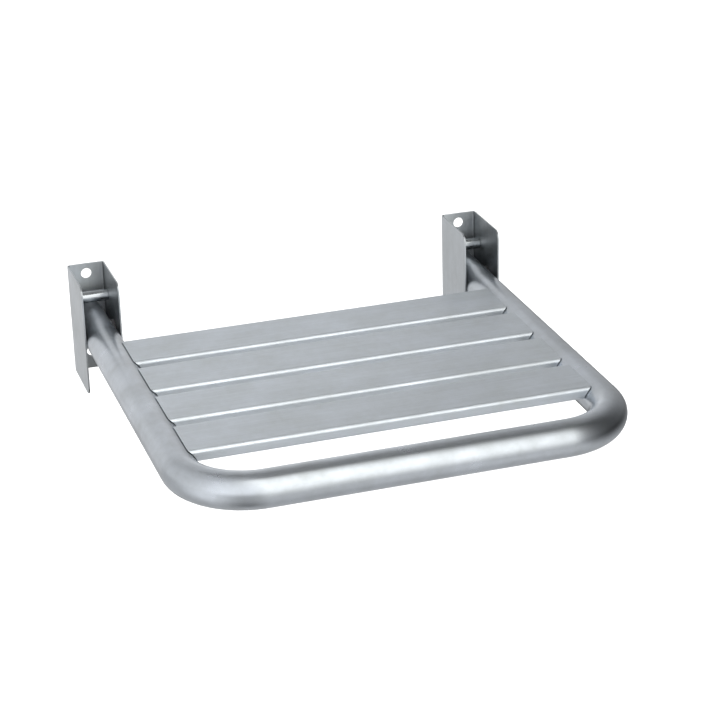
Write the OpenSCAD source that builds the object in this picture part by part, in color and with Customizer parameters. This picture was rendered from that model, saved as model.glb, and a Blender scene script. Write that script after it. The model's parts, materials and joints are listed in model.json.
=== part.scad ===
// Fold down wall seat
// A bent tube frame carries four flat slats. It hinges between two folded
// channels on the wall, and swings up until it rests on a bar in each channel.
// Millimetres. X runs along the wall, Y into the wall and Z up. The origin is
// on the wall, in the middle of the four fixing holes.

/* [Seat frame] */
// Overall width across the two side tubes
seat_w = 444; // [400:1:520]
// Distance from the wall to the front of the seat
seat_d = 469; // [420:1:560]
// Outer diameter of the frame tube
tube_d = 35; // [32:0.5:38]
// Wall thickness of the frame tube
tube_wall = 2; // [1.2:0.1:3]
// Radius of the front bends, along the middle of the tube
bend_r = 63; // [45:1:90]

/* [Pressed tube ends] */
// How far each side of the tube is pressed in at its end
pinch_depth = 3.5; // [2:0.25:4.5]
// Length of the pressed flats
pinch_l = 50; // [46:0.5:54]
// Length over which the flats run out into the round tube
shoulder_l = 23; // [12:1:40]
// Gap between the tube's end and the back of the channel
end_gap = 0.4; // [0.3:0.1:2]

/* [Slats] */
// Gap between the wall and the first slat
rear_gap = 112.5; // [100:0.5:130]
// Gap between one slat and the next
drain_gap = 12.6; // [6:0.2:20]
// Gap between the last slat and the front tube
front_gap = 47.7; // [30:0.1:60]
// Thickness of a slat
slat_h = 12; // [9:0.5:14]
// Wall thickness of a slat, which is a flat tube
slat_wall = 1.5; // [1:0.1:2.5]
// Outer radius of a slat's long edges
slat_edge_r = 3.6; // [2.6:0.1:4.5]
// How far the slats' tops lie below the tops of the tubes
slat_drop = 2.25; // [1:0.25:4]

/* [Wall brackets] */
// Height of a bracket
bracket_h = 116.5; // [108:0.5:150]
// Distance from the wall to the bracket's front edges
bracket_d = 72.6; // [66:0.2:90]
// Thickness of the folded sheet
sheet_t = 1.5; // [1:0.1:3]
// Inner radius of the two folds
fold_r = 1.5; // [0.5:0.1:4]
// Gap between the round tube and each side of the channel
side_gap = 0.4; // [0.3:0.05:1.5]
// Radius of the front corners at the top
top_corner_r = 8.5; // [2:0.5:14]
// Radius of the front corners at the bottom
low_corner_r = 8.5; // [2:0.5:14]

/* [Fixing holes] */
// Diameter of the fixing holes
hole_d = 11; // [6:0.5:12]
// Distance from the upper hole's middle to the bracket's top edge
hole_margin = 10.8; // [8:0.05:14]
// Distance from the lower hole's middle to the bracket's bottom edge
low_hole_margin = 18.9; // [8:0.05:30]

/* [Pivot] */
// Distance from the wall to the pivot
pivot_setback = 41.1; // [40:0.1:43]
// How far the pivot is below the middle of the fixing holes
pivot_drop = 5.6; // [0:0.1:10]
// Diameter of the pivot pin
pin_d = 12; // [8:0.5:13]
// Radial clearance of the pin in its bushes
pin_gap = 0.05; // [0.02:0.01:0.1]
// Wall thickness of a bush
bush_wall = 1.5; // [1:0.1:2]
// Length of a bush inside the sleeve
bush_l = 12; // [6:0.5:13]
// Wall thickness of the pivot sleeve
sleeve_wall = 2.4; // [1.5:0.1:2.8]
// Gap between a bush's flange and the channel's side
bush_gap = 0.3; // [0.1:0.05:1]

/* [Up stop] */
// Diameter of the stop bar
stop_d = 12; // [8:0.5:14]
// Height of the stop bar's middle above the pivot
stop_rise = 28.75; // [28:0.25:36]
// How far past upright the folded seat leans back on the bar, in degrees
fold_lean = 1; // [0:0.1:2]
// Gap left between the folded tube and the bar
stop_gap = 0.3; // [0.2:0.1:1]

/* [Hidden] */

satin_steel = "#b9bdc3";
polished_steel = "#dcdfe2";
bush_plastic = "#2b2b2c";

// Cuts run past the faces that they break by this much
overrun = 1;
// The round surfaces are true circles. This only sets how the preview draws them
$fn = 96;
// Sides of a pressed tube end, and steps of the shoulder where it runs out to the round tube
press_sides = 40;
shoulder_steps = 7;
// A pressed end lies this much inside the round tube's surface, so that their edges stay apart
seam = 0.04;

tube_r = tube_d / 2;
side_x = seat_w / 2 - tube_r;
front_y = tube_r - seat_d;
pivot_y = -pivot_setback;
pivot_z = -pivot_drop;

// The slats share the depth that the gaps leave them
slat_count = 4;
slat_pitch = (seat_d - tube_d - rear_gap - front_gap + drain_gap) / slat_count;
slat_w = slat_pitch - drain_gap;

// The pressed end, from the wall outwards
end_y = -sheet_t - end_gap;
flat_y = end_y - pinch_l;
round_y = flat_y - shoulder_l;
pinch_w = tube_d - 2 * pinch_depth;
// Pressing keeps the tube's girth, so the section grows taller as it narrows
taller_share = PI / 2 - 1;

inner_w = tube_d + 2 * side_gap;
bracket_w = inner_w + 2 * sheet_t;
hole_pitch = bracket_h - hole_margin - low_hole_margin;
bracket_top = hole_pitch / 2 + hole_margin;

bush_bore = pin_d + 2 * pin_gap;
bush_d = bush_bore + 2 * bush_wall;
sleeve_d = bush_d + 2 * sleeve_wall;

// How much of the pressing is left at a distance y from the wall, 1 to 0
function press_share(y) =
    let(t = max(0, min(1, (flat_y - y) / shoulder_l))) 1 - t * t * (3 - 2 * t);
// Half the height of the tube's section there
function half_height(y) = tube_r + taller_share * pinch_depth * press_share(y);

// The bar stands where the leaning tube comes to rest on it
stop_station = pivot_y - stop_rise;
stop_reach = (half_height(stop_station) + stop_d / 2 + stop_gap + stop_rise * sin(fold_lean))
    / cos(fold_lean);
stop_y = pivot_y + stop_reach;
stop_z = pivot_z + stop_rise;

// A rod along X, in the middle of a bracket, from one x to another
module cross_rod(d, x0, x1)
    translate([x0, 0, 0]) rotate([0, 90, 0]) cylinder(h = x1 - x0, d = d);

// The front tube, its two bends and the round part of the two side tubes
module round_path(r) {
    corner_x = side_x - bend_r;
    corner_y = front_y + bend_r;
    translate([0, front_y, pivot_z]) cross_rod(2 * r, -corner_x, corner_x);
    for (side = [-1, 1]) {
        translate([side * corner_x, corner_y, pivot_z])
            rotate([0, 0, side < 0 ? 180 : 270])
                rotate_extrude(angle = 90) translate([bend_r, 0]) circle(r);
        translate([side * side_x, corner_y, pivot_z])
            rotate([-90, 0, 0]) cylinder(h = round_y - corner_y, r = r);
    }
}

// One ring of points round a pressed end at a distance y from the wall. The ring is made of two
// half circles, one above the other, which meet where the pressing has run out
function press_ring(y, inset) =
    let(press = pinch_depth * press_share(y), arc_r = tube_r - press - inset - seam,
        arc_z = PI / 2 * press)
    [for (i = [0 : press_sides - 1])
        let(a = 360 * (i + 0.5) / press_sides)
        [arc_r * cos(a), y, arc_r * sin(a) + (a < 180 ? arc_z : -arc_z)]];

// A tube end from its cut face at y_end, along its flats and out to the round tube, less an inset
// all round
module pressed_end(side, inset, y_end) {
    n = press_sides;
    points = [
        each press_ring(y_end, inset),
        for (k = [0 : shoulder_steps]) each press_ring(flat_y - shoulder_l * k / shoulder_steps, inset)];
    last = len(points) - n;
    walls = [for (a = [0 : n : last - n], i = [0 : n - 1])
        let(j = (i + 1) % n)
        each [[a + i, a + j + n, a + j], [a + i, a + i + n, a + j + n]]];
    caps = [[for (i = [0 : n - 1]) i], [for (i = [n - 1 : -1 : 0]) last + i]];
    translate([side * side_x, 0, pivot_z]) polyhedron(points, concat(walls, caps));
}

// What is cut off the tube's upper corner so that the end can swing past the back plate
module swing_cut(side) {
    swing_r = end_y - pivot_y;
    top = half_height(0) + overrun;
    translate([side * side_x, pivot_y, pivot_z]) difference() {
        translate([-tube_r, 0, 0]) cube([tube_d, swing_r + overrun, top]);
        cross_rod(2 * swing_r, -tube_r - overrun, tube_r + overrun);
    }
}

module frame_tube() color(satin_steel) difference() {
    union() {
        round_path(tube_r);
        for (side = [-1, 1]) pressed_end(side, 0, end_y);
    }
    round_path(tube_r - tube_wall);
    for (side = [-1, 1]) {
        pressed_end(side, tube_wall, end_y + overrun);
        swing_cut(side);
        at_pivot(side) cross_rod(sleeve_d, -tube_r, tube_r);
    }
}

// Places its children at a bracket's pivot
module at_pivot(side) translate([side * side_x, pivot_y, pivot_z]) children();

// Section of a slat with its long edges rounded, less an inset all round
module slat_section(inset) {
    r = slat_edge_r - inset;
    w = slat_w - 2 * inset;
    h = slat_h - 2 * inset;
    square([w - 2 * r, h], center = true);
    square([w, h - 2 * r], center = true);
    for (u = [-1, 1], v = [-1, 1]) translate([u * (w / 2 - r), v * (h / 2 - r)]) circle(r);
}

// A slat, counted from the wall, with both ends saddle-cut to the side tubes
module slat(number) {
    slat_y = -rear_gap - slat_w / 2 - (number - 1) * slat_pitch;
    slat_z = pivot_z + tube_r - slat_drop - slat_h / 2;
    color(satin_steel) difference() {
        translate([-side_x, slat_y, slat_z]) rotate([90, 0, 90])
            linear_extrude(2 * side_x) difference() {
                slat_section(0);
                slat_section(slat_wall);
            }
        round_path(tube_r);
    }
}

// Outline of a channel seen from above, closed at the wall, with round folds
module channel_outline(w, back, front, r) {
    translate([-w / 2, front]) square([w, back - r - front]);
    translate([r - w / 2, front]) square([w - 2 * r, back - front]);
    for (side = [-1, 1]) translate([side * (w / 2 - r), back - r]) circle(r);
}

// Side view of a bracket, with Y to the right and Z up, rounded at the front corners
module side_outline() {
    low = bracket_top - bracket_h;
    translate([top_corner_r - bracket_d, low + low_corner_r])
        square([bracket_d - top_corner_r, bracket_h - low_corner_r]);
    translate([-bracket_d, low + low_corner_r])
        square([bracket_d, bracket_h - top_corner_r - low_corner_r]);
    translate([low_corner_r - bracket_d, low]) square([bracket_d - low_corner_r, bracket_h / 2]);
    translate([top_corner_r - bracket_d, bracket_top - top_corner_r]) circle(top_corner_r);
    translate([low_corner_r - bracket_d, low + low_corner_r]) circle(low_corner_r);
}

module bracket(side) color(satin_steel) difference() {
    translate([side * side_x, 0, 0]) intersection() {
        translate([0, 0, bracket_top - bracket_h]) linear_extrude(bracket_h) difference() {
            channel_outline(bracket_w, 0, -bracket_d, fold_r + sheet_t);
            channel_outline(inner_w, -sheet_t, -bracket_d - overrun, fold_r);
        }
        translate([-bracket_w / 2, 0, 0]) rotate([90, 0, 90])
            linear_extrude(bracket_w) side_outline();
    }
    for (end = [-1, 1]) translate([side * side_x, overrun, end * hole_pitch / 2])
        rotate([90, 0, 0]) cylinder(h = sheet_t + 2 * overrun, d = hole_d);
    at_pivot(side) cross_rod(pin_d, -bracket_w / 2 - overrun, bracket_w / 2 + overrun);
}

module stop_bar(side) color(polished_steel)
    translate([side * side_x, stop_y, stop_z]) cross_rod(stop_d, -inner_w / 2, inner_w / 2);

module pivot_pin(side) color(satin_steel)
    at_pivot(side) cross_rod(pin_d, -bracket_w / 2, bracket_w / 2);

module pivot_sleeve(side) color(satin_steel) at_pivot(side) difference() {
    cross_rod(sleeve_d, -pinch_w / 2, pinch_w / 2);
    cross_rod(bush_d, -pinch_w / 2 - overrun, pinch_w / 2 + overrun);
}

// A flanged bush at the left (-1) or right (1) end of a pivot sleeve
module bush(side, end) color(bush_plastic) at_pivot(side) mirror([end < 0 ? 1 : 0, 0, 0])
    difference() {
        union() {
            cross_rod(bush_d, pinch_w / 2 - bush_l, pinch_w / 2);
            cross_rod(sleeve_d, pinch_w / 2, inner_w / 2 - bush_gap);
        }
        cross_rod(bush_bore, pinch_w / 2 - bush_l - overrun, inner_w / 2);
    }

frame_tube();
slat(1);  // slat_1
slat(2);  // slat_2
slat(3);  // slat_3
slat(4);  // slat_4
bracket(-1);  // bracket_left
bracket(1);  // bracket_right
stop_bar(-1);  // stop_bar_left
stop_bar(1);  // stop_bar_right
pivot_pin(-1);  // pivot_pin_left
pivot_pin(1);  // pivot_pin_right
pivot_sleeve(-1);  // pivot_sleeve_left
pivot_sleeve(1);  // pivot_sleeve_right
bush(-1, -1);  // bush_left_outer
bush(-1, 1);  // bush_left_inner
bush(1, -1);  // bush_right_inner
bush(1, 1);  // bush_right_outer
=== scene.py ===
import json
from math import cos, pi, radians, sin, sqrt

import bmesh
import bpy
from mathutils import Matrix, Vector


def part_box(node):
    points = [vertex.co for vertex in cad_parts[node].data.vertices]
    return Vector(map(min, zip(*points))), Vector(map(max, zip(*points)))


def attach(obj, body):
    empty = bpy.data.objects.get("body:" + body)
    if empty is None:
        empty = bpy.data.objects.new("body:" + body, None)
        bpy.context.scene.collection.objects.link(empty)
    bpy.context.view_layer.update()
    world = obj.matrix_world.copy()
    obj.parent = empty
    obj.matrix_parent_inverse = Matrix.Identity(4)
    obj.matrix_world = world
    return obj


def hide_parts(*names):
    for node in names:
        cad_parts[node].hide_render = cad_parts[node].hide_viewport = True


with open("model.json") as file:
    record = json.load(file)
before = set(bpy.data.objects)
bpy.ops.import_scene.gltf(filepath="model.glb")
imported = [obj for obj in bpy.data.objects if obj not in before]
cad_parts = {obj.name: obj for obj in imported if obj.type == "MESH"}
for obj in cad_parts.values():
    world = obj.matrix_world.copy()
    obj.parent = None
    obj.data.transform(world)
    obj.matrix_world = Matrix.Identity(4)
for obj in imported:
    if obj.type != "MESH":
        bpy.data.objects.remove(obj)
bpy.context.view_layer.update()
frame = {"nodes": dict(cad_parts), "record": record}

mm = 0.001

# Frame tube
tube_r = 17.5 * mm
tube_wall = 2 * mm
bend_r = 63 * mm
pinch_depth = 3.5 * mm
flats_l = 50 * mm
shoulder_l = 23 * mm
end_break = 0.25 * mm
tube_sides = 72
bend_steps = 28
shoulder_steps = 18
straight_steps = 12
front_steps = 12
half_step = 0.5
tube_sharp_deg = 35

# Slats
slat_count = 4
slat_edge_r = 3.6 * mm
slat_break = 0.6 * mm
slat_joint = 0.5 * mm
corner_steps = 6
break_steps = 3

# Weld beads under the slats' ends
weld_r = 1.9 * mm
weld_pitch = 1.7 * mm
weld_sides = 12
ripple_steps = 4
ripple_share = 0.14
weld_height_share = 0.6
weld_tip_share = 0.15
weld_tip_power = 16

# Wall brackets
sheet_t = 1.5 * mm
fold_r = 1.5 * mm
fold_steps = 8
top_corner_r = 8.5 * mm
low_corner_r = 8.5 * mm
hole_r = 5.5 * mm
hole_steps = 24
sheet_break = 0.5 * mm
sheet_break_steps = 3
merge_gap = 0.001 * mm
keys_per_m = 1e7
pin_reach_share = 1.05

# Stop bars, and how sharp an edge stays on all pieces but the tube
bar_break = 0.4 * mm
bar_sides = 64
edge_sharp_deg = 40

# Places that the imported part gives
tube_low, tube_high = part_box("frame_tube")
bracket_low, bracket_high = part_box("bracket_right")
pin_low, pin_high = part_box("pivot_pin_right")
pivot = Vector(frame["record"]["behaviour"]["joints"][0]["pos_m"])
hole_rise = frame["record"]["mounts"][0]["dims"]["spacing_y_mm"] * mm / 2
side_x = tube_high[0] - tube_r
front_y = tube_low[1] + tube_r
end_y = tube_high[1]
flats_y = end_y - flats_l
round_y = flats_y - shoulder_l
swing_r = end_y - pivot.y
pin_r = (pin_high[2] - pin_low[2]) / 2
outer_fold_r = fold_r + sheet_t
half_back = (bracket_high[0] - bracket_low[0]) / 2 - outer_fold_r
fold_l = pi / 2 * outer_fold_r


def ease(t):
    """0 to 1 with a smooth start and end."""
    t = max(0.0, min(1.0, t))
    return t * t * (3 - 2 * t)


def full_turn(count, first=0.0):
    """Evenly spaced angles round a full turn, in radians. The first one is that many steps on."""
    return [2 * pi * (i + first) / count for i in range(count)]


def new_object(name, data):
    made = bpy.data.objects.new(name, data)
    bpy.context.scene.collection.objects.link(made)
    return made


def new_mesh(name, bm, material):
    mesh = bpy.data.meshes.new(name)
    bm.to_mesh(mesh)
    bm.free()
    mesh.materials.append(material)
    return mesh


def add_piece(name, bm, body, material):
    """A mesh object from a bmesh, with its body and its material."""
    bmesh.ops.recalc_face_normals(bm, faces=bm.faces)
    mesh = new_mesh(name, bm, material)
    for face in mesh.polygons:
        face.use_smooth = True
    piece = new_object(name, mesh)
    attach(piece, body)
    return piece


def even_normals(piece, sharp_deg=edge_sharp_deg):
    """Keeps flat faces flat beside their small rounded edges."""
    piece.data.set_sharp_from_angle(angle=radians(sharp_deg))
    weighted = piece.modifiers.new("Even normals", "WEIGHTED_NORMAL")
    weighted.keep_sharp = True


def loft(bm, rings, loop=False):
    """Quads between closed rings of points. In a loop the last ring meets the first one, and
    otherwise a face closes each end."""
    rows = [[bm.verts.new(point) for point in ring] for ring in rings]
    pairs = list(zip(rows, rows[1:]))
    if loop:
        pairs.append((rows[-1], rows[0]))
    count = len(rows[0])
    for near, far in pairs:
        for i in range(count):
            j = (i + 1) % count
            bm.faces.new((near[i], near[j], far[j], far[i]))
    if not loop:
        bm.faces.new(rows[0])
        bm.faces.new(rows[-1])
    return rows


# Materials. Scales of patterns are in cycles per metre, and the first three numbers are the mix node's
# sockets for colors

mix_first = 6
mix_second = 7
mix_result = 2
lines_across = 900
lines_along = 12
streaks_across = 170
streaks_along = 7
line_detail = 3
line_roughness = 0.6
line_range = (0.25, 0.75)
cloud_scale = 24
cloud_detail = 5
cloud_roughness = 0.55
mark_scale = 110
mark_detail = 4
mark_roughness = 0.65
mark_share = 0.35
cloud_range = (0.3, 0.7)
dull_tint_shares = (1.008, 1.004, 0.985)
bright_tint_shares = (0.992, 0.996, 1.015)
dull_roughness_share = 1.15
bright_roughness_share = 0.87
quarter_turn = 0.25
plastic_grain_scale = 1800
plastic_cloud_scale = 60
plastic_detail = 3
plastic_tone_shares = (0.94, 1.03)
plastic_roughnesses = (0.42, 0.55)
plastic_bump = 0.02 * mm


def new_material(name):
    material = bpy.data.materials.new(name)
    material.use_nodes = True
    tree = material.node_tree
    return material, tree, tree.nodes["Principled BSDF"]


def node(tree, kind, links=None, **settings):
    """A node with its settings and its linked or fixed inputs."""
    made = tree.nodes.new(kind)
    for key, value in settings.items():
        setattr(made, key, value)
    for key, value in (links or {}).items():
        if isinstance(value, bpy.types.NodeSocket):
            tree.links.new(value, made.inputs[key])
        else:
            made.inputs[key].default_value = value
    return made


def noise(tree, place, scale, detail, roughness=0.5):
    links = {"Vector": place, "Scale": scale, "Detail": detail, "Roughness": roughness}
    return node(tree, "ShaderNodeTexNoise", links).outputs["Fac"]


def spread(tree, value, limits, low, high, **settings):
    """low to high, as value goes from one limit to the other."""
    links = {"Value": value, "From Min": limits[0], "From Max": limits[1], "To Min": low, "To Max": high}
    return node(tree, "ShaderNodeMapRange", links, **settings).outputs["Result"]


def times(tree, value, share):
    return node(tree, "ShaderNodeMath", {0: value, 1: share}, operation="MULTIPLY").outputs["Value"]


def color_times(tree, color, share):
    links = {0: color, "Scale": share}
    return node(tree, "ShaderNodeVectorMath", links, operation="SCALE").outputs["Vector"]


def add_bump(tree, shader, height, distance):
    bump = node(tree, "ShaderNodeBump", {"Height": height, "Distance": distance, "Strength": 1.0})
    tree.links.new(bump.outputs["Normal"], shader.inputs["Normal"])


def steel(name, color, roughness, grain_axis, cloud, streak, fine, fine_across=lines_across, fine_bump=0,
          anisotropic=0, drawn_along=False, end_dullness=0):
    """Satin stainless steel whose ground lines run along an axis, 0, 1 or 2. Its tone varies in
    clouds, streaks and fine lines by these shares. Reflections are drawn out across the axis, or
    along it. With end_dullness it is the bent tube's steel: its axes are those of the tube laid out
    straight, which the mesh carries as unbent places, and its pressed ends are that much duller."""
    material, tree, shader = new_material(name)
    place = node(tree, "ShaderNodeTexCoord").outputs["Object"]
    ground = place
    if end_dullness:
        ground = node(tree, "ShaderNodeAttribute", attribute_name="unbent").outputs["Vector"]

    def ground_lines(across, along):
        scale = [across] * 3
        scale[grain_axis] = along
        at = node(tree, "ShaderNodeMapping", {"Vector": ground, "Scale": scale}).outputs["Vector"]
        return noise(tree, at, 1, line_detail, line_roughness)

    lines = ground_lines(fine_across, lines_along)
    streaks = ground_lines(streaks_across, streaks_along)
    clouds = noise(tree, place, cloud_scale, cloud_detail, cloud_roughness)
    marks = noise(tree, place, mark_scale, mark_detail, mark_roughness)
    blend = node(tree, "ShaderNodeMix", {"Factor": mark_share, "A": clouds, "B": marks})
    cloudy = blend.outputs["Result"]
    dull = [value * (1 - cloud) * share for value, share in zip(color, dull_tint_shares)]
    bright = [value * (1 + cloud) * share for value, share in zip(color, bright_tint_shares)]
    tone = spread(tree, cloudy, cloud_range, 0, 1)
    links = {0: tone, mix_first: (*dull, 1), mix_second: (*bright, 1)}
    tints = node(tree, "ShaderNodeMix", links, data_type="RGBA").outputs[mix_result]
    fine_tone = spread(tree, lines, line_range, 1 - fine, 1 + fine)
    streak_tone = spread(tree, streaks, line_range, 1 - streak, 1 + streak)
    tint = color_times(tree, tints, times(tree, fine_tone, streak_tone))
    tree.links.new(tint, shader.inputs["Base Color"])

    dullness = spread(tree, cloudy, cloud_range, roughness * dull_roughness_share,
                      roughness * bright_roughness_share)
    if end_dullness:
        from_end = node(tree, "ShaderNodeSeparateXYZ", {"Vector": ground}).outputs["X"]
        pressed = spread(tree, from_end, (flats_l, flats_l + shoulder_l), 1 + end_dullness, 1)
        dullness = times(tree, dullness, pressed)
    tree.links.new(dullness, shader.inputs["Roughness"])
    if fine_bump:
        add_bump(tree, shader, lines, fine_bump)
    if anisotropic:
        around = node(tree, "ShaderNodeTangent", direction_type="RADIAL", axis="XYZ"[grain_axis])
        tree.links.new(around.outputs["Tangent"], shader.inputs["Tangent"])
    if drawn_along:
        shader.inputs["Anisotropic Rotation"].default_value = quarter_turn
    shader.inputs["Metallic"].default_value = 1.0
    shader.inputs["Anisotropic"].default_value = anisotropic
    return material


def moulded_plastic(name, color):
    material, tree, shader = new_material(name)
    place = node(tree, "ShaderNodeTexCoord").outputs["Object"]
    grain = noise(tree, place, plastic_grain_scale, plastic_detail)
    clouds = noise(tree, place, plastic_cloud_scale, plastic_detail)
    tint = color_times(tree, color, spread(tree, clouds, cloud_range, *plastic_tone_shares))
    tree.links.new(tint, shader.inputs["Base Color"])
    rough = spread(tree, grain, cloud_range, *plastic_roughnesses)
    tree.links.new(rough, shader.inputs["Roughness"])
    add_bump(tree, shader, grain, plastic_bump)
    return material


tube_steel = steel("tube_steel", color=(0.480, 0.507, 0.538), roughness=0.295, grain_axis=0, cloud=0.14,
                   streak=0.03, fine=0.012, end_dullness=0.7)
slat_steel = steel("slat_steel", color=(0.608, 0.644, 0.682), roughness=0.396, grain_axis=0, cloud=0.07,
                   streak=0.035, fine=0.04, fine_bump=0.008 * mm, anisotropic=0.75)
sheet_steel = steel("sheet_steel", color=(0.422, 0.443, 0.460), roughness=0.38, grain_axis=2, cloud=0.06,
                    streak=0.05, fine=0.05, fine_across=700, fine_bump=0.005 * mm, anisotropic=0.7,
                    drawn_along=True)
bar_steel = steel("bar_steel", color=(0.42, 0.44, 0.455), roughness=0.2, grain_axis=0, cloud=0.03,
                  streak=0.02, fine=0.02)
pin_steel = steel("pin_steel", color=(0.46, 0.48, 0.497), roughness=0.4, grain_axis=0, cloud=0.05,
                  streak=0.03, fine=0.02)
weld_steel = steel("weld_steel", color=(0.44, 0.45, 0.46), roughness=0.38, grain_axis=1, cloud=0.1,
                   streak=0.05, fine=0.03)
bush_plastic = moulded_plastic("bush_plastic", color=(0.030, 0.030, 0.032))


# Frame tube

def press_share(y):
    """How much of the pressing is left at a distance y from the wall, 1 to 0."""
    return 1 - ease((flats_y - y) / shoulder_l)


def tube_section(y, inset):
    """(outwards, upwards) places round the tube's section: two half circles that the pressing parts."""
    press = pinch_depth * press_share(y)
    arc_r = tube_r - press - inset
    lift = pi / 2 * press
    places = []
    for a in full_turn(tube_sides, half_step):
        places.append((arc_r * cos(a), arc_r * sin(a) + (lift if a < pi else -lift)))
    return places


def end_at(rise, back):
    """Where the tube's end stands at a height above its middle: its upper corner swings past the wall."""
    if rise <= 0:
        return end_y - back
    return pivot.y + sqrt((swing_r - back) ** 2 - rise * rise)


def side_ring(side, y, inset, back=None):
    """A ring round a side tube. With back given, it follows the tube's end that far inside it."""
    ring = []
    for out, rise in tube_section(y, inset):
        at_y = y if back is None else end_at(rise, back)
        ring.append(Vector((side * (side_x + out), at_y, pivot.z + rise)))
    return ring


def bend_ring(turn, inset, shift=0.0):
    """A ring along the front: turn runs from -90 at the left side to 0 and on to 90 degrees."""
    r = tube_r - inset
    corner = Vector(((side_x - bend_r) * (-1 if turn < 0 else 1), front_y + bend_r, pivot.z))
    outwards = Vector((sin(radians(turn)), -cos(radians(turn)), 0))
    middle = corner + outwards * bend_r + Vector((shift, 0, 0))
    ring = []
    for a in full_turn(tube_sides, half_step):
        ring.append(middle + outwards * (r * cos(a)) + Vector((0, 0, r * sin(a))))
    return ring


def side_rings(side, inset):
    """Rings along a side tube, from behind its end out to the bend."""
    shoulder = [flats_y - shoulder_l * i / shoulder_steps for i in range(shoulder_steps + 1)]
    straight_l = round_y - (front_y + bend_r)
    straight = [round_y - straight_l * i / straight_steps for i in range(1, straight_steps)]
    return [side_ring(side, y, inset) for y in [pivot.y, *shoulder, *straight]]


def surface_rings(inset):
    """Rings of one surface of the whole tube, from the left end's flats to the right end's."""
    left = side_rings(-1, inset)
    right = side_rings(1, inset)
    turns = [90 * i / bend_steps for i in range(bend_steps + 1)]
    left_bend = [bend_ring(turn - 90, inset) for turn in turns[:-1]]
    span = 2 * (side_x - bend_r)
    front = [bend_ring(0, inset, -span * (1 - i / front_steps)) for i in range(front_steps + 1)]
    right_bend = [bend_ring(turn, inset) for turn in turns[1:]]
    return left + left_bend + front + right_bend + right[::-1]


def end_rings(side, corner):
    return [side_ring(side, end_y, inset, back) for inset, back in corner]


def build_tube():
    """Rings out along the tube's outside and back along its bore. Each point keeps its unbent place:
    how far it is from the nearer end, and where it is round the section."""
    outer = [(0, end_break), (end_break, 0)]
    inner = [(tube_wall - end_break, 0), (tube_wall, end_break)]
    rings = end_rings(-1, outer)[::-1] + surface_rings(0) + end_rings(1, outer)
    rings += end_rings(1, inner) + surface_rings(tube_wall)[::-1] + end_rings(-1, inner)[::-1]
    bm = bmesh.new()
    unbent = bm.verts.layers.float_vector.new("unbent")
    rows = loft(bm, rings, loop=True)
    middles = [sum((vert.co for vert in row), Vector()) / len(row) for row in rows]
    gone = [0.0]
    for start, stop in zip(middles, middles[1:]):
        gone.append(gone[-1] + (stop - start).length)
    for row, length in zip(rows, gone):
        for vert, a in zip(row, full_turn(tube_sides)):
            vert[unbent] = Vector((min(length, gone[-1] - length), tube_r * cos(a), tube_r * sin(a)))
    piece = add_piece("bent_tube", bm, "seat", tube_steel)
    even_normals(piece, tube_sharp_deg)
    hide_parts("frame_tube")


# Slats

def slat_outline(low, high, inset):
    """(y, z) places round a slat's section with its long edges rounded."""
    r = slat_edge_r - inset
    front, back = low[1] + slat_edge_r, high[1] - slat_edge_r
    bottom, top = low[2] + slat_edge_r, high[2] - slat_edge_r
    places = []
    for quarter, (y, z) in enumerate([(back, top), (front, top), (front, bottom), (back, bottom)]):
        for i in range(corner_steps + 1):
            a = pi / 2 * (quarter + i / corner_steps)
            places.append((y + r * cos(a), z + r * sin(a)))
    return places


def cope_x(z, gap):
    """Where a slat meets the round of the side tube at a height z."""
    r = tube_r + gap
    rise = z - pivot.z
    return side_x - sqrt(r * r - rise * rise)


def build_slat(number):
    """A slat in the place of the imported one, whose two corners it returns."""
    low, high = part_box("slat_%d" % number)
    rings = []
    for i in range(break_steps + 1):
        a = pi / 2 * i / break_steps
        inset = slat_break * (1 - sin(a))
        back = slat_break * (1 - cos(a))
        rings.append([(-cope_x(z, slat_joint) + back, y, z) for y, z in slat_outline(low, high, inset)])
    bm = bmesh.new()
    loft(bm, rings + [[(-x, y, z) for x, y, z in ring] for ring in rings[::-1]])
    piece = add_piece("slat_bar_%d" % number, bm, "seat", slat_steel)
    even_normals(piece)
    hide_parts("slat_%d" % number)
    return low, high


def build_weld(number, side, word, low, high):
    """The bead under a slat's end, a row of overlapping ripples."""
    x = side * cope_x(low[2], 0)
    length = high[1] - low[1] - 2 * slat_edge_r
    count = round(length / weld_pitch) * ripple_steps
    angles = full_turn(weld_sides)
    rings = []
    for i in range(count + 1):
        share = i / count
        ripple = 1 - ripple_share + ripple_share * abs(sin(pi * i / ripple_steps))
        taper = sqrt(max(0.0, 1 - (2 * share - 1) ** weld_tip_power))
        r = weld_r * ripple * max(weld_tip_share, taper)
        y = low[1] + slat_edge_r + length * share
        rings.append([(x + r * cos(a), y, low[2] + weld_height_share * r * sin(a)) for a in angles])
    bm = bmesh.new()
    loft(bm, rings)
    add_piece("slat_weld_%s_%d" % (word, number), bm, "seat", weld_steel)


# Wall brackets

def arc(center, r, start, end, steps):
    """Points of an arc between two angles in degrees."""
    points = []
    for i in range(steps + 1):
        a = radians(start + (end - start) * i / steps)
        points.append((center[0] + r * cos(a), center[1] + r * sin(a)))
    return points


def fold_place(s, z, depth, side):
    """A place on the folded sheet, from the one on the flat sheet: s across it, z up, depth inwards."""
    sign = -1 if s < 0 else 1
    s = abs(s)
    if s <= half_back:
        x, y = s, -depth
    elif s < half_back + fold_l:
        a = (s - half_back) / outer_fold_r
        x = half_back + (outer_fold_r - depth) * sin(a)
        y = -outer_fold_r + (outer_fold_r - depth) * cos(a)
    else:
        x = half_back + outer_fold_r - depth
        y = -outer_fold_r - (s - half_back - fold_l)
    return Vector((side * side_x + sign * x, y, z))


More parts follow.
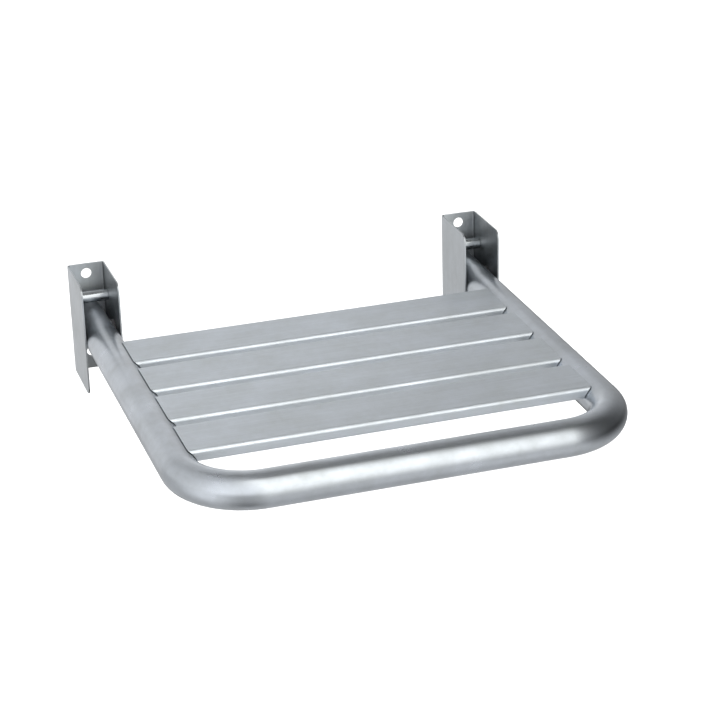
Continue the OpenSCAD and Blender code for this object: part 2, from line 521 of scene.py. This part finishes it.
def flat_sheet():
    """The outlines of the flat sheet's faces, cut where the folds start, at the holes and at the pins."""
    low, high = bracket_low[2], bracket_high[2]
    side_s = half_back + fold_l
    front_s = side_s - outer_fold_r - bracket_low[1]
    pin_s = side_s - outer_fold_r - pivot.y
    faces = []
    low_hole = arc((0, -hole_rise), hole_r, -90, -270, hole_steps)
    top_hole = arc((0, hole_rise), hole_r, -90, -270, hole_steps)
    faces.append([(0, low), *low_hole, *top_hole, (0, high), (-half_back, high), (-half_back, pivot.z),
                  (-half_back, low)])
    for i in range(fold_steps):
        near = half_back + fold_l * i / fold_steps
        far = half_back + fold_l * (i + 1) / fold_steps
        faces.append([(-near, low), (-near, pivot.z), (-far, pivot.z), (-far, low)])
        faces.append([(-near, pivot.z), (-near, high), (-far, high), (-far, pivot.z)])
    low_corner = arc((low_corner_r - front_s, low + low_corner_r), low_corner_r, 180, 270, hole_steps // 2)
    top_corner = arc((top_corner_r - front_s, high - top_corner_r), top_corner_r, 90, 180, hole_steps // 2)
    pin_top = arc((-pin_s, pivot.z), pin_r, 0, 180, hole_steps)
    pin_under = arc((-pin_s, pivot.z), pin_r, 180, 360, hole_steps)
    faces.append([(-side_s, pivot.z), (-side_s, high), *top_corner, (-front_s, pivot.z), *pin_top[::-1]])
    faces.append([(-front_s, pivot.z), *low_corner, (-side_s, low), (-side_s, pivot.z), *pin_under[::-1]])
    mirrored = [[(-s, z) for s, z in face[::-1]] for face in faces]
    return faces + mirrored


def flat_key(place):
    """The same for every mention of one point of the flat sheet."""
    return tuple(round(value * keys_per_m) for value in place)


def build_bracket(side, word):
    """The folded sheet's two sides, the rim between them and small bevels along that rim, apart from
    where the pins fill their holes."""
    bm = bmesh.new()
    made = {}

    def corner(place, depth):
        key = (*flat_key(place), depth)
        if key not in made:
            made[key] = bm.verts.new(fold_place(*place, depth, side))
        return made[key]

    uses = {}
    for face in flat_sheet():
        bm.faces.new([corner(place, 0) for place in face])
        bm.faces.new([corner(place, sheet_t) for place in face[::-1]])
        for ends in zip(face, face[1:] + face[:1]):
            key = tuple(sorted(flat_key(place) for place in ends))
            uses.setdefault(key, []).append(ends)
    rim = [sharing[0] for sharing in uses.values() if len(sharing) == 1]
    for start, stop in rim:
        bm.faces.new((corner(stop, 0), corner(start, 0), corner(start, sheet_t), corner(stop, sheet_t)))
    broken = []
    for start, stop in rim:
        for depth in (0, sheet_t):
            edge = bm.edges.get((corner(start, depth), corner(stop, depth)))
            middle = (edge.verts[0].co + edge.verts[1].co) / 2
            if (middle - Vector((middle.x, pivot.y, pivot.z))).length >= pin_r * pin_reach_share:
                broken.append(edge)
    bmesh.ops.bevel(bm, geom=broken, offset=sheet_break, segments=sheet_break_steps, profile=0.5,
                    affect="EDGES")
    bmesh.ops.remove_doubles(bm, verts=bm.verts, dist=merge_gap)
    piece = add_piece("channel_%s" % word, bm, "wall_brackets", sheet_steel)
    even_normals(piece)
    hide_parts("bracket_%s" % word)


# Stop bars

def build_stop_bar(word):
    low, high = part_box("stop_bar_%s" % word)
    r = (high[2] - low[2]) / 2
    y = (high[1] + low[1]) / 2
    z = (high[2] + low[2]) / 2
    stations = [(low[0], r - bar_break), (low[0] + bar_break, r), (high[0] - bar_break, r),
                (high[0], r - bar_break)]
    angles = full_turn(bar_sides)
    bm = bmesh.new()
    loft(bm, [[(x, y + ring_r * cos(a), z + ring_r * sin(a)) for a in angles] for x, ring_r in stations])
    piece = add_piece("stop_rod_%s" % word, bm, "wall_brackets", bar_steel)
    even_normals(piece)
    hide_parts("stop_bar_%s" % word)


sides = ((-1, "left"), (1, "right"))
build_tube()
for number in range(1, slat_count + 1):
    slat_low, slat_high = build_slat(number)
    for side, word in sides:
        build_weld(number, side, word, slat_low, slat_high)
for side, word in sides:
    build_bracket(side, word)
    build_stop_bar(word)

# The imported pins, sleeves and bushes keep their shapes
kept_finishes = {"pivot": pin_steel, "bush": bush_plastic}
for name, cad_node in frame["nodes"].items():
    finish = kept_finishes.get(name.split("_")[0])
    if finish:
        cad_node.data.materials.clear()
        cad_node.data.materials.append(finish)


# Camera, as in the photograph. Its angles are in radians, and its lens and sensor in millimetres

camera_at = Vector((-0.5842, -2.1375, 0.8596))
camera_yaw = -0.3052
camera_pitch = 0.4049
camera_roll = -0.0278
camera_lens = 111.486
camera_sensor = 36.0

bearing_of_view = Vector((-sin(camera_yaw), cos(camera_yaw), 0))
ahead = bearing_of_view * cos(camera_pitch) - Vector((0, 0, sin(camera_pitch)))
level = Vector((cos(camera_yaw), sin(camera_yaw), 0))
upright = level.cross(ahead)
right = level * cos(camera_roll) + upright * sin(camera_roll)
up = upright * cos(camera_roll) - level * sin(camera_roll)
camera = new_object("camera", bpy.data.cameras.new("camera"))
camera.data.lens = camera_lens
camera.data.sensor_width = camera_sensor
turned = Matrix((right, up, -ahead)).transposed()
camera.matrix_world = Matrix.Translation(camera_at) @ turned.to_4x4()
bpy.context.scene.camera = camera


# Floor, and cards that only reflections see: one above the folded seat, which ends the softbox in the
# stop bars, and a dark one under each bracket, painted shade beneath the brackets that only reflections
# show. A card is its two (x, y) corners, its height and its tone

floor_half = 14.0
floor_z = -0.45
floor_tone = 0.8
matt_roughness = 0.9
matt_specular = 0.1
over_card = ((-0.3, -0.32), (0.45, -0.02), 0.5, 0.33)
# The two dark cards under the brackets are painted shade: sheets seen only in reflections, in place of the
# shade beneath the brackets
painted_shade_card_left = ((-0.225, -0.3), (-0.13, -0.02), -0.12, 0.05)
painted_shade_card_right = ((0.184, -0.3), (0.279, -0.02), -0.12, 0.05)


def level_panel(name, low, high, z, tone):
    """A level rectangle of matt paint between two (x, y) corners, which isn't part of the object."""
    bm = bmesh.new()
    places = [low, (high[0], low[1]), high, (low[0], high[1])]
    bm.faces.new([bm.verts.new((x, y, z)) for x, y in places])
    paint, tree, shader = new_material(name + "_paint")
    shader.inputs["Base Color"].default_value = (tone, tone, tone, 1)
    shader.inputs["Roughness"].default_value = matt_roughness
    shader.inputs["Specular IOR Level"].default_value = matt_specular
    panel = new_object(name, new_mesh(name, bm, paint))
    return panel


floor = level_panel("floor", (-floor_half, -floor_half), (floor_half, floor_half), floor_z, floor_tone)
floor.visible_glossy = False
cards = {"card_over": over_card, "card_under_left": painted_shade_card_left, "card_under_right": painted_shade_card_right}
for name, place in cards.items():
    card = level_panel(name, *place)
    card.visible_camera = False
    card.visible_diffuse = False
    card.visible_shadow = False


# Light of the studio by direction, fitted to the photograph's brightness. Bearings run from -Y, in front
# of the seat, towards +X. A lobe is its bearing, how far from it it is full and gone, and its level

room_level = 0.993
zenith_level = 0.672
left_fill_lobe = (-21, 1.6, 98, 0.666)
left_fill_heights = (50, 90)
dark_right_lobe = (81.8, 4.8, 118, 0.914)
dark_right_heights = (63.4, 123.4)
dark_rear_lobe = (-158, 0, 28.3, 0.224)
dark_rear_heights = (20, 80)
horizon_heights = (-8, 4)
floor_level = 0.68
nadir_level = 0.643
nadir_depths = (20, 85)
left_floor_lobe = (-19.6, 0, 105, 2.27)
front_floor_lobe = (-19, 0, 71.2, 0.736)
dark_floor_lobe = (81.8, 4.8, 118, 0.97)
dark_floor_depths = (5, 55)
room_color = (0.99, 1.0, 1.01, 1)

# The softbox in front: its middle's direction, and each edge's place and softness as tangents of angles
# from that middle. The two depths keep it out of the directions beside and behind it
box_bearing = 12.1
box_height = 39.5
box_sides = ((-0.022, 0.426), (0.251, 0.12))
box_ends = ((-1.31, 1.51), (0.98, 0.12))
box_level = 2.85
box_color = (1.0, 1.0, 0.95, 1)
least_depth = 0.001
facing_depth = 0.01

world = bpy.data.worlds.new("studio")
bpy.context.scene.world = world
world.use_nodes = True
sky = world.node_tree
toward = node(sky, "ShaderNodeTexCoord").outputs["Generated"]
toward_x, toward_y, toward_z = node(sky, "ShaderNodeSeparateXYZ", {0: toward}).outputs


def calc(operation, *values):
    """A math node on numbers or sockets."""
    return node(sky, "ShaderNodeMath", dict(enumerate(values)), operation=operation).outputs["Value"]


def product(*values):
    result = values[0]
    for value in values[1:]:
        result = times(sky, result, value)
    return result


def less(value):
    """What value leaves of 1."""
    return calc("SUBTRACT", 1.0, value)


def smooth(value, limits, start=0.0, end=1.0):
    """Goes smoothly from start to end as value goes from one limit to the other."""
    return spread(sky, value, limits, start, end, interpolation_type="SMOOTHSTEP")


def fade(angle, limits_deg, start=0.0, end=1.0):
    """The same for an angle between limits in degrees."""
    return smooth(angle, [radians(limit) for limit in limits_deg], start, end)


def lobe(center_deg, inner_deg, outer_deg, strength):
    """strength within inner_deg of a bearing, fading to nothing at outer_deg."""
    off = calc("ABSOLUTE", calc("SUBTRACT", bearing, radians(center_deg)))
    wrapped = calc("MINIMUM", off, calc("SUBTRACT", 2 * pi, off))
    return fade(wrapped, (inner_deg, outer_deg), strength, 0.0)


def along(axis):
    """How far a direction points along an axis."""
    return node(sky, "ShaderNodeVectorMath", {0: toward, 1: axis}, operation="DOT_PRODUCT").outputs["Value"]


def band(value, edges):
    """1 between two edges, each (place, softness)."""
    (low, low_soft), (high, high_soft) = edges
    return product(smooth(value, (low - low_soft, low + low_soft)),
                   smooth(value, (high - high_soft, high + high_soft), 1.0, 0.0))


bearing = calc("ARCTAN2", toward_x, product(toward_y, -1.0))
height = calc("ARCSINE", toward_z)

turn = radians(box_bearing)
tilt = radians(box_height)
box_across = Vector((cos(turn), sin(turn), 0))
box_front = Vector((sin(turn), -cos(turn), 0))
box_ahead = box_front * cos(tilt) + Vector((0, 0, sin(tilt)))
box_up = Vector((0, 0, cos(tilt))) - box_front * sin(tilt)
depth = calc("MAXIMUM", along(box_ahead), least_depth)
across = calc("DIVIDE", along(box_across), depth)
rise = calc("DIVIDE", along(box_up), depth)
softbox = product(band(across, box_sides), band(rise, box_ends), box_level,
                  calc("GREATER_THAN", depth, facing_depth))

# Above the horizon: an even room, paler on the left and dark on the right
room = fade(height, (0, 90), room_level, zenith_level)
left_fill = product(lobe(*left_fill_lobe), fade(height, left_fill_heights, 1.0, 0.0))
dark_right = less(product(lobe(*dark_right_lobe), fade(height, dark_right_heights, 1.0, 0.0)))
dark_rear = product(lobe(*dark_rear_lobe), fade(height, dark_rear_heights, 1.0, 0.0))
above = product(calc("SUBTRACT", calc("ADD", room, left_fill), dark_rear), dark_right)

# Below it: the floor's light, paler on the left, dimmer under the seat and on the right
down = product(height, -1.0)
left_floor = calc("ADD", 1.0, lobe(*left_floor_lobe))
front_floor = less(lobe(*front_floor_lobe))
under = fade(down, nadir_depths)
floor_light = calc("ADD", product(left_floor, less(under), floor_level), product(under, nadir_level))
dark_floor = less(product(lobe(*dark_floor_lobe), fade(down, dark_floor_depths, 1.0, 0.0)))
below = product(floor_light, front_floor, dark_floor)
over_horizon = fade(height, horizon_heights)
surroundings = calc("ADD", product(above, over_horizon), product(below, less(over_horizon)))

background = sky.nodes["Background"]
sky.links.new(surroundings, background.inputs["Strength"])
background.inputs["Color"].default_value = room_color
glow = node(sky, "ShaderNodeBackground", {"Color": box_color, "Strength": softbox})
all_light = node(sky, "ShaderNodeAddShader", {0: background.outputs[0], 1: glow.outputs[0]})
sky.links.new(all_light.outputs[0], sky.nodes["World Output"].inputs["Surface"])


# Lamps: a soft panel behind the seat, and one for the floor

def area_lamp(name, size, energy, place, tilt_deg=0):
    """A lamp that shines down, or that is tilted about X. Its energy is in watts."""
    lamp = new_object(name, bpy.data.lights.new(name, "AREA"))
    lamp.data.shape = "RECTANGLE"
    lamp.data.size, lamp.data.size_y = size
    lamp.data.energy = energy
    lamp.location = place
    lamp.rotation_euler = (radians(tilt_deg), 0, 0)
    return lamp


rear_panel = area_lamp("rear_panel", size=(1.854, 1.53), energy=2.201, place=(-0.337, 1.4, 0.085),
                       tilt_deg=-90)
rear_panel.visible_camera = False
floor_lamp = area_lamp("floor_light", size=(4.0, 4.0), energy=160.0, place=(0.0, 1.2, 3.0))
floor_lamp.visible_glossy = False

bpy.context.scene.view_settings.view_transform = "Standard"
